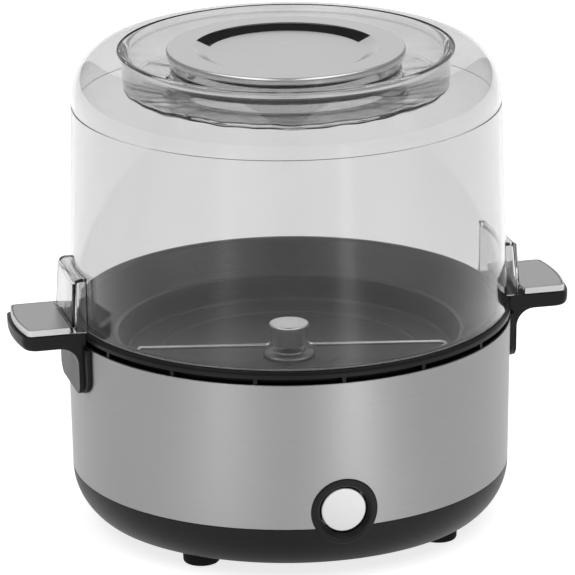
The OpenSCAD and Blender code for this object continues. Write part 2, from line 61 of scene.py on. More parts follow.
class Shader:
    """One material: its Principled shader, and the nodes that drive it."""

    def __init__(self, name, **sockets):
        self.material = bpy.data.materials.new(name)
        self.material.use_nodes = True
        self.tree = self.material.node_tree
        self.bsdf = self.tree.nodes["Principled BSDF"]
        self.out = self.tree.nodes["Material Output"]
        for socket, value in sockets.items():
            self.bsdf.inputs[socket.replace("_", " ")].default_value = value
        self.place = self.node("TexCoord").outputs["Object"]

    def node(self, kind, inputs=None, **settings):
        made = self.tree.nodes.new("ShaderNode" + kind)
        for key, value in settings.items():
            setattr(made, key, value)
        for key, value in (inputs or {}).items():
            self.put(value, made.inputs[key])
        return made

    def put(self, value, socket):
        """A link where value is a socket, and a plain setting where it is a number."""
        if isinstance(value, bpy.types.NodeSocket):
            self.tree.links.new(value, socket)
        else:
            socket.default_value = value

    def math(self, operation, a, b=0.0):
        return self.node("Math", {0: a, 1: b}, operation=operation).outputs[0]

    def mix(self, first, share, second, other_share):
        """The sum of two values, each times its share."""
        return self.math("ADD", self.math("MULTIPLY", first, share),
                         self.math("MULTIPLY", second, other_share))

    def stretched(self, x, y, z):
        """Object coordinates scaled by x, y and z: the grain is long where the number is small."""
        return self.node("VectorMath", {0: self.place, 1: (x, y, z)}, operation="MULTIPLY").outputs[0]

    def turned(self, across, along, height):
        """Coordinates for grain that runs round the Z axis: radius, then position, then height."""
        split = self.node("SeparateXYZ", {0: self.place})
        x, y, z = split.outputs
        radius = self.math("SQRT", self.mix(x, x, y, y))
        above_zero = self.math("MAXIMUM", radius, 1e-4)
        # the direction round the axis, as a point on a circle, so that no seam shows
        cx = self.math("MULTIPLY", self.math("DIVIDE", x, above_zero), along)
        cy = self.math("MULTIPLY", self.math("DIVIDE", y, above_zero), along)
        ring = self.mix(radius, across, z, height)
        return self.node("CombineXYZ", {0: cx, 1: cy, 2: ring}).outputs[0]

    def turned_axis(self, turn):
        """Distance from the Z axis in the direction turn degrees round from +X."""
        way = (math.cos(math.radians(turn)), math.sin(math.radians(turn)), 0)
        return self.node("VectorMath", {0: self.place, 1: way}, operation="DOT_PRODUCT").outputs["Value"]

    def noise(self, vector, scale=1.0, detail=2.0, roughness=0.5):
        return self.node("TexNoise", {"Vector": vector, "Scale": scale, "Detail": detail,
                                      "Roughness": roughness}).outputs["Fac"]

    def span(self, value, low, high):
        """A noise value spread between low and high."""
        return self.node("MapRange", {"Value": value, "From Min": NOISE_LOW, "From Max": NOISE_HIGH,
                                      "To Min": low, "To Max": high}).outputs[0]

    def tint(self, value, dark, light):
        """A colour between dark and light, picked by a noise value. A plain number means a grey."""
        ramp = self.node("ValToRGB", {0: value})
        ramp.color_ramp.elements[0].position = NOISE_LOW
        ramp.color_ramp.elements[1].position = NOISE_HIGH
        for element, colour in zip(ramp.color_ramp.elements, (dark, light)):
            element.color = (*colour, 1) if isinstance(colour, tuple) else (colour, colour, colour, 1)
        return ramp.outputs[0]

    def bump(self, height, depth, strength=1.0):
        """A bump of that depth in metres."""
        return self.node("Bump", {"Height": height, "Distance": depth, "Strength": strength}).outputs[0]

    def finish(self, colour, roughness, normal=None):
        self.put(colour, self.bsdf.inputs["Base Color"])
        self.put(roughness, self.bsdf.inputs["Roughness"])
        if normal is not None:
            self.put(normal, self.bsdf.inputs["Normal"])
        return self.material


def moulded_plastic(name, dark, light, low, high, grain=2600, depth=0.00002, **sockets):
    """Injection-moulded plastic: eroded-tool grain, soft sheen patches and faint handling marks."""
    s = Shader(name, **sockets)
    fine = s.noise(s.place, grain, 3)
    patch = s.noise(s.place, 22, 3)
    scuff = s.noise(s.stretched(60, 500, 240), 1, 4, 0.7)
    height = s.math("ADD", fine, s.math("MULTIPLY", scuff, 0.25))
    wear = s.mix(patch, 0.7, scuff, 0.3)
    return s.finish(s.tint(wear, dark, light), s.span(wear, low, high), s.bump(height, depth))


def grained_steel(name, vector_of, dark, light, low, high, depth=BRUSHED, turned_grain=False, **sockets):
    """Brushed sheet: long fine scratches in one direction over slow changes of tone."""
    s = Shader(name, Metallic=1.0, **sockets)
    if turned_grain:
        # the scratches run round the Z axis, and light spreads across them
        s.put(s.node("Tangent", direction_type="RADIAL", axis="Z").outputs[0], s.bsdf.inputs["Tangent"])
    fine = s.noise(vector_of(s, 1.0), 1, 4, 0.65)
    broad = s.noise(vector_of(s, 0.22), 1, 3, 0.6)
    cloud = s.noise(s.place, 18, 2)
    streak = s.mix(fine, 0.6, broad, 0.4)
    tone = s.mix(streak, 0.8, cloud, 0.2)
    return s.finish(s.tint(tone, dark, light), s.span(streak, low, high), s.bump(streak, depth))


def round_the_wall(s, share):
    """Grain round an upright wall. A smaller share means coarser grain, here and below."""
    return s.turned(0, 0.9, 3200 * share)


def round_the_disc(s, share):
    """Grain in rings on a disc and round its edge."""
    return s.turned(2600 * share, 0.8, 900 * share)


def along_y(s, share):
    """Straight grain along Y."""
    return s.stretched(2600 * share, 30 * share, 2600 * share)


def nonstick_coat(name):
    """Grey non-stick coat on spun sheet: turning rings under it, a fine speckle in it."""
    s = Shader(name, Metallic=0.4, Specular_IOR_Level=0.3)
    rings = s.noise(s.turned(700, 0.5, 700), 1, 3, 0.6)
    speck = s.noise(s.place, 1500, 2)
    tone = s.mix(rings, 0.85, speck, 0.15)
    height = s.math("ADD", rings, s.math("MULTIPLY", speck, 0.03))
    return s.finish(s.tint(tone, 0.045, 0.065), s.span(tone, 0.27, 0.34), s.bump(height, COATED))


def clear_plastic(name):
    """Clear moulded plastic with faint flow marks. It bends light, and lamps reach through it."""
    s = Shader(name, Transmission_Weight=1.0, IOR=1.49, Specular_Tint=(0.45, 0.45, 0.45, 1))
    flow = s.noise(s.stretched(14, 14, 5), 1, 3)
    haze = s.noise(s.place, 30, 3)
    s.finish(s.tint(flow, 0.70, 0.755), s.span(haze, 0.0, 0.02), s.bump(flow, 0.0001, 0.05))
    clear = s.node("BsdfTransparent", {"Color": (0.93, 0.93, 0.93, 1)}).outputs[0]
    shadow = s.node("LightPath").outputs["Is Shadow Ray"]
    mix = s.node("MixShader", {0: shadow, 1: s.bsdf.outputs[0], 2: clear})
    s.put(mix.outputs[0], s.out.inputs["Surface"])
    return s.material


def cast_metal(name, dark, light, low, high):
    """Cast or zinc-plated metal: a mottled, faintly pitted face."""
    s = Shader(name, Metallic=1.0)
    cell = s.node("TexVoronoi", {"Vector": s.place, "Scale": 420.0}).outputs["Distance"]
    cloud = s.noise(s.place, 240, 4)
    tone = s.mix(cell, 0.4, cloud, 0.6)
    return s.finish(s.tint(tone, dark, light), s.span(tone, low, high), s.bump(tone, 0.00004))


# name: darkest and lightest tone, lowest and highest roughness, then the grain's scale and depth
PLASTICS = {
    "black_plastic_rough": (0.010, 0.018, 0.50, 0.62, 1500, 0.00004),
    "dark_phenolic": ((0.03, 0.02, 0.015), (0.05, 0.035, 0.025), 0.4, 0.55),
    "white_plastic": (0.62, 0.72, 0.35, 0.5),
    "ceramic_white": (0.66, 0.78, 0.5, 0.7, 900, 0.00003),
    "lead_insulation": (0.30, 0.42, 0.45, 0.6),
    "frosted_edge": (0.58, 0.66, 0.35, 0.5),
    "grip_plastic": (0.035, 0.06, 0.35, 0.5),
}
# name: the grain's direction, darkest and lightest tone, lowest and highest roughness, then the depth
STEELS = {
    "satin_steel": (along_y, 0.33, 0.42, 0.3, 0.4),
    "cap_steel": (round_the_disc, 0.50, 0.56, 0.22, 0.28, POLISHED),
    "button_silver": (round_the_disc, 0.44, 0.5, 0.3, 0.42, POLISHED),
    "wire_steel": (along_y, 0.94, 1.0, 0.2, 0.28, POLISHED),
    "hub_steel": (round_the_disc, 0.92, 1.0, 0.26, 0.34, POLISHED),
    "bush_steel": (round_the_disc, 0.22, 0.30, 0.3, 0.42),
    "reflector_sheet": (round_the_disc, 0.6, 0.75, 0.2, 0.32),
}
# name: darkest and lightest tone, lowest and highest roughness
CAST_METALS = {
    "screw_steel": (0.45, 0.6, 0.25, 0.4),
    "zinc_sheet": (0.45, 0.6, 0.35, 0.5),
    "cast_aluminium": (0.5, 0.64, 0.45, 0.6),
    "element_steel": (0.16, 0.26, 0.4, 0.55),
}


def make_materials():
    """A material for every slot of the record, under the slot's name, and two for details."""
    made = {name: moulded_plastic(name, *looks) for name, looks in PLASTICS.items()}
    made.update((name, grained_steel(name, *looks)) for name, looks in STEELS.items())
    made.update((name, cast_metal(name, *looks)) for name, looks in CAST_METALS.items())
    made["black_plastic"] = moulded_plastic("black_plastic", 0.005, 0.009, 0.32, 0.44,
                                            Specular_IOR_Level=0.15)
    made["foot_rubber"] = moulded_plastic("foot_rubber", 0.004, 0.008, 0.75, 0.92, 1200, 0.00006,
                                          Specular_IOR_Level=0.15)
    made["brushed_shell"] = grained_steel("brushed_shell", round_the_wall, 0.345, 0.39, 0.40, 0.48,
                                          turned_grain=True, Anisotropic=0.9, Anisotropic_Rotation=0.25)
    made["clear_plastic"] = clear_plastic("clear_plastic")
    made["nonstick_pan"] = nonstick_coat("nonstick_pan")
    return made


def dress_nodes(materials):
    """Gives every CAD node the material of its slot in the record."""
    for part in frame["record"]["subparts"]:
        node = NODES[part["node"]]
        node.data.materials.clear()
        node.data.materials.append(materials[part["material_slot"]])


# ---------------------------------------------------------------- mesh tools, in millimetres

def arc(cx, cy, radius, start, stop, steps):
    """Points of an arc round (cx, cy), angles in degrees."""
    turns = [math.radians(start + (stop - start) * i / steps) for i in range(steps + 1)]
    return [(cx + radius * math.cos(t), cy + radius * math.sin(t)) for t in turns]


def softened(corners, steps=5):
    """A closed outline from (x, y, fillet radius) corners, each corner rounded by its fillet.

    A fillet takes up just under half of each side at most, and a nearly straight corner gets none.
    """
    points = []
    for i, (x, y, fillet) in enumerate(corners):
        here = Vector((x, y))
        before = Vector(corners[i - 1][:2]) - here
        after = Vector(corners[(i + 1) % len(corners)][:2]) - here
        if fillet <= 0 or before.length < 1e-6 or after.length < 1e-6:
            points.append((x, y))
            continue
        before_unit, after_unit = before.normalized(), after.normalized()
        half = before_unit.angle(after_unit) / 2
        if half > math.radians(89):
            points.append((x, y))
            continue
        run = min(fillet / math.tan(half), before.length * 0.49, after.length * 0.49)
        radius = run * math.tan(half)
        centre = here + (before_unit + after_unit).normalized() * (radius / math.sin(half))
        first, last = here + before_unit * run - centre, here + after_unit * run - centre
        sweep_angle = math.pi - 2 * half
        for k in range(steps + 1):
            done = sweep_angle * k / steps
            offset = first * math.sin(sweep_angle - done) + last * math.sin(done)
            points.append(tuple(centre + offset / math.sin(sweep_angle)))
    return points


def unrounded(points):
    """Points of an outline that softened() leaves as they are."""
    return [(x, y, 0) for x, y in points]


def new_object(name, verts, faces):
    """An object from points in millimetres."""
    mesh = bpy.data.meshes.new(name)
    mesh.from_pydata([(x * MM, y * MM, z * MM) for x, y, z in verts], [], faces)
    mesh.validate()
    made = bpy.data.objects.new(name, mesh)
    bpy.context.scene.collection.objects.link(made)
    bm = bmesh.new()
    bm.from_mesh(mesh)
    bmesh.ops.remove_doubles(bm, verts=bm.verts, dist=1e-7)
    bmesh.ops.recalc_face_normals(bm, faces=bm.faces)
    bm.to_mesh(mesh)
    bm.free()
    return made


def circle(radius, steps, cx=0.0, cy=0.0):
    """Points round (cx, cy), with no point twice."""
    turns = [2 * math.pi * k / steps for k in range(steps)]
    return [(cx + radius * math.cos(t), cy + radius * math.sin(t)) for t in turns]


def lathe(name, profile, steps=FINE_ROUND):
    """A closed (radius, z) outline turned round the Z axis. A point with no radius becomes a pole."""
    verts, rings = [], []
    for radius, z in profile:
        if radius < 1e-6:
            rings.append([len(verts)])
            verts.append((0, 0, z))
            continue
        rings.append(list(range(len(verts), len(verts) + steps)))
        verts += [(x, y, z) for x, y in circle(radius, steps)]
    faces = []
    for i, ring in enumerate(rings):
        other = rings[(i + 1) % len(rings)]
        if len(ring) == len(other) == 1:
            continue
        for k in range(steps):
            n = (k + 1) % steps
            if len(ring) == 1:
                faces.append((ring[0], other[n], other[k]))
            elif len(other) == 1:
                faces.append((ring[k], ring[n], other[0]))
            else:
                faces.append((ring[k], ring[n], other[n], other[k]))
    return new_object(name, verts, faces)


def loft(name, rings, closed=False):
    """A skin over rings with the same number of points, with a flat face on each end or closed round."""
    count = len(rings[0])
    verts = [point for ring in rings for point in ring]
    if closed:
        verts += rings[0]
        faces = []
    else:
        faces = [tuple(range(count)), tuple((len(rings) - 1) * count + k for k in range(count))]
    for i in range(len(rings) - (0 if closed else 1)):
        for k in range(count):
            n = (k + 1) % count
            faces.append((i * count + k, i * count + n, (i + 1) * count + n, (i + 1) * count + k))
    return new_object(name, verts, faces)


def prism(name, outline, low, high, axis="z"):
    """An outline drawn out along an axis: (x, y) along z, (x, z) along y, or (y, z) along x."""
    turned = {"z": lambda u, v, w: (u, v, w),
              "y": lambda u, v, w: (u, w, v),
              "x": lambda u, v, w: (w, u, v)}[axis]
    return loft(name, [[turned(u, v, w) for u, v in outline] for w in (low, high)])


def rod_along_y(name, z, low, high, radius):
    """A round bar along Y at height z."""
    return prism(name, circle(radius, 96, 0, z), low, high, "y")


def post(x, low, high, radius):
    """A round upright bar at that distance from the Z axis."""
    return prism("post", circle(radius, 48, x), low, high)


def sweep(name, path, radius, sides=20):
    """A round wire along a path, with flat ends."""
    points = [Vector(p) for p in path]
    tangents = [(points[min(i + 1, len(points) - 1)] - points[max(i - 1, 0)]).normalized()
                for i in range(len(points))]
    side = tangents[0].orthogonal().normalized()
    rings = []
    for i, (point, tangent) in enumerate(zip(points, tangents)):
        side = (side - tangent * side.dot(tangent)).normalized()
        other = tangent.cross(side)
        rings.append([tuple(point + (side * math.cos(a) + other * math.sin(a)) * radius)
                      for a in (2 * math.pi * k / sides for k in range(sides))])
    return loft(name, rings)


def bake(made):
    """Applies every modifier, so that the plain mesh holds the shape."""
    depsgraph = bpy.context.evaluated_depsgraph_get()
    mesh = bpy.data.meshes.new_from_object(made.evaluated_get(depsgraph))
    old = made.data
    made.modifiers.clear()
    made.data = mesh
    bpy.data.meshes.remove(old)
    mesh.name = made.name


def combine(target, operation, *others):
    """Joins others to target, or cuts them out of it. The others are used up."""
    for other in others:
        step = target.modifiers.new(operation, "BOOLEAN")
        step.operation, step.solver, step.object = operation, "EXACT", other
    bake(target)
    for other in others:
        bpy.data.objects.remove(other)


def merged(name, parts):
    """Separate closed parts that don't touch, as one object."""
    bm = bmesh.new()
    for part in parts:
        bm.from_mesh(part.data)
    mesh = bpy.data.meshes.new(name)
    bm.to_mesh(mesh)
    bm.free()
    for part in parts:
        bpy.data.objects.remove(part)
    made = bpy.data.objects.new(name, mesh)
    bpy.context.scene.collection.objects.link(made)
    return made


def round_edges(made, width):
    """Rounds every edge sharper than 32 degrees."""
    step = made.modifiers.new("edges", "BEVEL")
    step.width, step.segments, step.limit_method = width * MM, 3, "ANGLE"
    step.angle_limit = math.radians(32)
    step.use_clamp_overlap = True
    step.miter_outer = "MITER_ARC"
    bake(made)


def turn_z(made, degrees):
    """Turns the mesh round the Z axis."""
    made.data.transform(Matrix.Rotation(math.radians(degrees), 4, "Z"))
    return made


def place(made, body, slot, *nodes, sharp=40, material=None):
    """Shades the piece, gives it its material, and puts it on its body in place of those CAD nodes.

    The material is the slot's own, unless one is named.
    """
    made.data.shade_smooth()
    made.data.set_sharp_from_angle(angle=math.radians(sharp))
    shading = made.modifiers.new("shading", "WEIGHTED_NORMAL")
    shading.keep_sharp = True
    shading.weight = 50
    made.data.materials.clear()
    made.data.materials.append(MATERIALS[material or slot])
    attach(made, body)
    if nodes:
        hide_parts(*nodes)


def tongue(reach, half_width, corner, start):
    """Plan of a handle: straight sides, an end on a large arc, rounded corners."""
    end_radius = 100.0
    cx = reach - end_radius
    kx = cx + math.sqrt((end_radius - corner) ** 2 - (half_width - corner) ** 2)
    turn = math.degrees(math.asin((half_width - corner) / (end_radius - corner)))
    return ([(start, -half_width)] + arc(kx, corner - half_width, corner, -90, -turn, 8)
            + arc(cx, 0, end_radius, -turn, turn, 24)[1:-1]
            + arc(kx, half_width - corner, corner, turn, 90, 8) + [(start, half_width)])


def stacked(name, plan, levels):
    """A block whose plan is plan(size) at each of the (z, size) levels."""
    return loft(name, [[(x, y, z) for x, y in plan(size)] for z, size in levels])


# ---------------------------------------------------------------- base

# the shell's outside, as radius and height at its lower and its upper edge
SHELL_LOW, SHELL_TOP = (113.6, 30.0), (115.0, 107.1)
BUTTON_Z = 38.7
GLAND_Z = 20
RIM_Z = 114.4
BEZEL_R = 17.3
SHELL_HOLE_R = 17.35
GRIP_REACH, GRIP_HALF_WIDTH = 147.0, 23.5
# degrees from +X of the bracket's posts, the feet and the bottom plate's screws
POST_TURNS = (20, 160, 200, 340)
FOOT_TURNS = (45, 135, 225, 315)
PLATE_SCREW_TURNS = (30, 150, 210, 330)


def make_tray():
    """Rounded tray with the button's bezel, the screw posts and the cord's boss in one moulding."""
    cx, outer, wall = 85.5, 28.1, 2.5
    inner = outer - wall
    # where the curved edge starts, 22 mm below the shell's lower edge
    low_angle = -math.degrees(math.asin(22 / outer))
    inner_angle = -math.degrees(math.asin((22 - wall) / inner))
    profile = [(70, 10.05, 0.2), (78, 10.05, 0), (78, 8, 0.5)]
    profile += unrounded(arc(cx, 30, outer, low_angle + 1, -1.2, 30))
    profile += [(113.6, 30, 0.35), (112.5, 30, 0), (112.5, 36, 0.4), (110.5, 36, 0.4), (110.5, 30.2, 0)]
    profile += unrounded(arc(cx, 30, inner, -2, inner_angle, 24) + [(82, 10.5), (82, 12.5), (70, 12.5)])
    tray = lathe("base_tray_moulding", softened(profile), 240)
    posts = [turn_z(post(92, 9, 62, 4.5), turn) for turn in POST_TURNS]
    boss = rod_along_y("boss", GLAND_Z, 103.9, 111.2, 8.6)
    switch_rest = prism("switch_rest", [(-9, -88), (9, -88), (9, -71), (-9, -71)], 10, 28)
    combine(tray, "UNION", boss, switch_rest, *posts)
    combine(tray, "DIFFERENCE", rod_along_y("room", BUTTON_Z, -126, -90, 15.5))
    combine(tray, "UNION", make_bezel())
    combine(tray, "DIFFERENCE", rod_along_y("entry", GLAND_Z, 99, 121, 6.1))
    combine(tray, "DIFFERENCE", rod_along_y("seat", GLAND_Z, 111.2, 121, 8.3))
    holes = [turn_z(post(89, -1, 14, 3.05), turn) for turn in FOOT_TURNS]
    holes += [turn_z(post(74, -1, 14, 1.55), turn) for turn in PLATE_SCREW_TURNS]
    holes += [turn_z(post(92, 40, 70, 1.55), turn) for turn in POST_TURNS]
    combine(tray, "DIFFERENCE", merged("holes", holes))
    place(tray, "base", "black_plastic", "base_tray")


def make_bezel():
    """Tube round the button. Its front follows the body, with a rounded rim and an eased mouth."""
    front, back, step_y, eased = 114.6, -98.0, -106.0, 0.8
    # the front's section, as radius round the button's axis and depth behind the body's curve
    section = [(BEZEL_R, eased)]
    section += [(BEZEL_R - eased * (1 - math.cos(t)), eased * (1 - math.sin(t)))
                for t in (math.radians(15 * k) for k in range(1, 7))]
    section += [(14.6, 0), (14.2, 0.08), (13.8, 0.3), (13.5, 0.65), (12.45, 2.4), (12.3, 2.8)]
    rings = [[(x, -math.sqrt(front ** 2 - x ** 2) + depth, z) for x, z in circle(radius, 120, 0, BUTTON_Z)]
             for radius, depth in section]
    rings += [[(x, y, z) for x, z in circle(radius, 120, 0, BUTTON_Z)]
              for radius, y in ((12.3, step_y), (14.2, step_y), (14.2, back), (BEZEL_R, back))]
    return loft("bezel", rings, closed=True)


def make_shell():
    """Brushed sheet round the body, with a hole for the bezel."""
    (low_r, low_z), (top_r, top_z) = SHELL_LOW, SHELL_TOP
    shell = lathe("steel_shell_sheet", softened([
        (low_r - 0.8, low_z, 0.1), (low_r, low_z, 0.3), (top_r, top_z, 0.4), (top_r - 0.8, top_z, 0.2)]))
    combine(shell, "DIFFERENCE", rod_along_y("hole", BUTTON_Z, -126, -90, SHELL_HOLE_R))
    place(shell, "base", "brushed_shell", "steel_shell")


def make_ring():
    """Rim ring over the vent gap, held off the shell by ribs."""
    ring = lathe("vent_ring_moulding", softened([
        (108, 98, 0.2), (110, 98, 0.2), (110, 110.3, 0.6), (115, 110.3, 0.35), (115, 112.4, 0.8),
        (114.4, 113.9, 0.6), (113.2, RIM_Z, 0.5), (108.3, RIM_Z, 0.25), (108, 114.1, 0.1)]))
    flange = lathe("flange", softened([
        (112.3, 105.2, 0.2), (113.9, 105.2, 0.2), (113.9, 107.1, 0.1), (112.3, 107.1, 0.3)]))
    # a rib reaches 113.2 out inside the shell, and 114.3 in the open gap above it
    levels = ((104.6, 113.2), (107.05, 113.2), (107.15, 114.3), (110.6, 114.3))
    ribs = [turn_z(stacked("rib", rib_plan, levels), 90 + 22.5 * i) for i in range(16)]
    combine(ring, "UNION", merged("ribs", ribs), flange)
    place(ring, "base", "black_plastic", "vent_ring")


def rib_plan(outer):
    return (109.6, -1), (outer, -1), (outer, 1), (109.6, 1)


def rounded_foot_of_plate(half, low, radius, corner_radius):
    """The lower half of an upright plate's outline, its two lower corners rounded."""
    return (arc(radius - half, low + radius, corner_radius, 180, 270, 12)
            + arc(half - radius, low + radius, corner_radius, 270, 360, 12))


def make_handle(name, turn, node):
    """Side grip: a flat tongue level with the rim, a leg down the body and a thin pad behind it."""
    reach, half, fillet, leg_x, leg_low = GRIP_REACH, GRIP_HALF_WIDTH, 9.5, 116.5, 80.5
    side = ([(106, RIM_Z), (reach + 1, RIM_Z), (reach + 1, 107)]
            + arc(leg_x + fillet, 107 - fillet, fillet, 90, 180, 20)
            + [(leg_x - 0.3, leg_low), (106, leg_low)])
    grip = prism(name, side, -half - 1, half + 1, "y")
    # the end's lower edge is rounded, and follows the plan
    plan = stacked("plan", lambda inset: tongue(reach - inset, half - inset / 8, 5, 100),
                   ((60, 2.7), (107, 2.7), (107.15, 1.9), (107.6, 1.15), (108.4, 0.6),
                    (109.6, 0.2), (111, 0.05), (113.6, 0), (130, 0)))
    front = ([(half + 1, 130), (-half - 1, 130), (-half - 1, leg_low + 9)]
             + rounded_foot_of_plate(half, leg_low, 8, 8.2) + [(half + 1, leg_low + 9)])
    combine(grip, "INTERSECT", plan)
    combine(grip, "INTERSECT", prism("front", front, 100, 160, "x"))
    round_edges(grip, 0.7)
    pad_half, pad_low = half + 4.8, leg_low + 1
    outline = [(pad_half, 106.4), (-pad_half, 106.4)] + rounded_foot_of_plate(pad_half, pad_low, 9, 9)
    pad = lathe("pad", [(113, 80), (116.2, 80), (116.9, 106.6), (113, 106.6)])
    combine(pad, "INTERSECT", prism("pad_outline", outline, 90, 160, "x"))
    round_edges(pad, 0.5)
    combine(grip, "UNION", pad)
    core = lathe("core", [(0, 10), (113.34, 10), (115.1, 107.1), (115.1, 140), (0, 140)])
    combine(grip, "DIFFERENCE", core)
    turn_z(grip, turn)
    place(grip, "base", "black_plastic", node)


def make_foot(name, turn, node):
    """Rubber foot with a rounded tread edge, and a barb through the tray."""
    low, high = (corner.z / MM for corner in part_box(node))
    foot = lathe(name, softened([
        (0, low, 0), (4.5, low, 0), (5.1, low + 0.5, 0.3), (5.7, low, 0.3), (9.3, low, 1.6), (9.7, 8, 0.3),
        (3, 8, 0), (3, 10.6, 0), (4.2, 10.6, 0.3), (3.4, high, 0.3), (0, high, 0)]), 72)
    foot.data.transform(Matrix.Translation((89 * MM, 0, 0)))
    turn_z(foot, turn)
    place(foot, "base", "foot_rubber", node)


# ---------------------------------------------------------------- pan and stirrer

def make_pan():
    """Spun pan: flat floor with a shallow step, a rounded knuckle, a creased ledge and a sloping wall."""
    pan = lathe("pan_spun", softened([
        (6.1, 84, 0), (74, 84, 3), (83, 85.6, 3), (86.6, 88.6, 3), (90, 98.2, 2), (106.8, 112.5, 0.6),
        (107.8, 113.3, 0.5), (107.8, RIM_Z, 0.5), (107.0, RIM_Z, 0.35), (90.6, 100.9, 0.25),
        (88.7, 100.3, 0.5), (88.0, 98.6, 1.0), (85.2, 88.0, 2.2), (69.0, 87.05, 0.3), (67.6, 86.5, 0.3),
        (14, 85.5, 0.6), (6.1, 85.5, 0)], 8))
    place(pan, "base", "nonstick_pan", "pan")


def make_bush():
    """Turned bush that clamps the pan round the drive shaft."""
    bush = lathe("pan_bush_turned", softened([
        (2.55, 72, 0), (6, 72, 0.3), (6, 85.5, 0), (13.5, 85.5, 0), (13.5, 86.6, 0.4), (12.6, 87.3, 0.4),
        (8.6, 87.9, 0.5), (7.6, 88.8, 0.4), (2.55, 88.8, 0.3)]), 120)
    place(bush, "base", "bush_steel", "pan_bush")


# how far the wire is turned from the X axis at rest, and the height of its middle line
WIRE_TURN, WIRE_Z = -11.9, 90.9


def stirrer_path():
    """The wire's line: down the hub, out along the pan, round a flat bow and back up the hub."""
    # the leg's distance from the axis and its bend, then the bow's centre, its radius and its corners'
    reach, bend, bow_c, bow_r, corner = 9.0, 3.2, -46.8, 96.8, 4.0
    corner_x = math.sqrt((bow_r - corner) ** 2 - (corner - bow_c) ** 2)
    tilt = math.degrees(math.atan2(corner - bow_c, corner_x))
    leg = [(reach, 0, 101.4), (reach, 0, WIRE_Z + bend)]
    leg += [(x, 0, z) for x, z in arc(reach + bend, WIRE_Z + bend, bend, 180, 270, 10)[1:]]
    leg += [(reach + bend + (corner_x - reach - bend) * k / 16, 0, WIRE_Z) for k in range(1, 16)]
    corner_points = [(x, y, WIRE_Z) for x, y in arc(corner_x, -corner, corner, 90, -tilt, 16)]
    bow = [(x, y, WIRE_Z) for x, y in arc(0, -bow_c, bow_r, -tilt, tilt - 180, 80)[1:-1]]
    out = leg + corner_points
    return out + bow + [(-x, y, z) for x, y, z in reversed(out[:28])]


def make_stirrer():
    """Turned hub that sits on the drive shaft, and the bent wire that it carries."""
    hub = lathe("stirrer_hub_turned", softened([
        (0, 97.7, 0), (2.55, 97.7, 0), (2.55, 91.4, 0.3), (8.5, 91.4, 0.4), (8.5, 100.2, 0.3),
        (10.2, 100.2, 0.3), (10.5, 100.7, 0.2), (10.5, 103.2, 1.3), (0, 103.2, 0)], 8), 120)
    place(hub, "stirrer", "hub_steel", "stirrer_hub")
    wire = sweep("stirrer_wire_bent", stirrer_path(), 1.0)
    turn_z(wire, WIRE_TURN)
    place(wire, "stirrer", "wire_steel", "stirrer_wire")


def make_button():
    """Push button: a slightly domed face, and the flange and stem behind it."""
    button = lathe("power_button_cap", softened([
        (0, 95.5, 0), (2.8, 95.5, 0.3), (2.8, 103.5, 0), (13.4, 103.5, 0.3), (13.4, 105.6, 0.3),
        (11.8, 105.6, 0), (11.8, 111.4, 0.7), (11.1, 111.75, 0.5), (0, 111.8, 0)], 8), 120)
    facing_front = Matrix.Rotation(math.radians(90), 4, "X")
    button.data.transform(Matrix.Translation((0, 0, BUTTON_Z * MM)) @ facing_front)
    place(button, "button", "button_silver", "power_button")


# ---------------------------------------------------------------- lid

LID_LOW = 114.75
LID_WALL = 2.2
SHELF_TOP = 118.1
# the part of the tub's floor that wavers, as radius and height
WAVY_R, WAVY_Z = (62.5, 84.5), (230, 236)


def shoulder(cx, cz, across, rise, steps):
    """Points of the lid's shoulder, a slightly squared quarter ellipse, from its foot up."""
    turns = [math.radians(90 * i / steps) for i in range(steps + 1)]
    return [(cx + across * max(math.cos(t), 0) ** 0.9, cz + rise * math.sin(t) ** 0.9) for t in turns]


def make_dome():
    """Clear dome with its sunk tub, side brackets and shelves, as one moulding."""
    cx, cz, across, rise = 86.6, 225.0, 24.0, 26.0
    # the wall, up to the groove under the shoulder
    profile = [(111.5, LID_LOW, 0.3), (113.7, LID_LOW, 0.3), (110.8, 222.8, 0),
               (110.34, 223.25, 0), (110.5, 223.9, 0)]
    profile += unrounded(shoulder(cx, cz, across, rise, 40))
    # the bead round the tub's mouth, then the tub with the seat of the cap, and back up its outside
    profile += [(86.1, 250.35, 0)] + unrounded(arc(83.7, 248, 3.1, 62, 176, 20))
    profile += [(80.9, 234, 1.2), (79.9, 233, 1.0), (61.9, 233, 0.2), (61.9, 234.8, 0.3),
                (60.4, 234.8, 0.3), (60.4, 233, 0.2), (48, 233, 0.5), (48, 230.8, 0.5),
                (81.2, 230.8, 1.2), (83.1, 232.2, 1.0), (84.2, 247, 1.0), (85.4, 248.8, 0.6)]
    profile += unrounded(shoulder(cx, cz, across - LID_WALL, rise - LID_WALL, 32)[::-1])
    dome = lathe("lid_dome", softened(profile))
    bend_tub_floor(dome)
    combine(dome, "UNION", *[turn_z(make_bracket(), turn) for turn in (0, 180)])
    place(dome, "lid", "clear_plastic", "lid_bowl", sharp=50)


def bend_tub_floor(dome):
    """The tub's floor and its corner aren't quite flat, as moulded, so what is seen through them wavers."""
    # waves round the tub, as height in millimetres, count and start
    waves = ((0.35, 5, 1), (0.25, 13, 2), (0.2, 29, 0))
    for vert in dome.data.vertices:
        radius, z = math.hypot(vert.co.x, vert.co.y) / MM, vert.co.z / MM
        if WAVY_R[0] < radius < WAVY_R[1] and WAVY_Z[0] < z < WAVY_Z[1]:
            angle = math.atan2(vert.co.y, vert.co.x)
            lift = sum(height * math.sin(count * angle + start) for height, count, start in waves)
            vert.co.z += lift * MM * min(1, (radius - WAVY_R[0]) / 12)


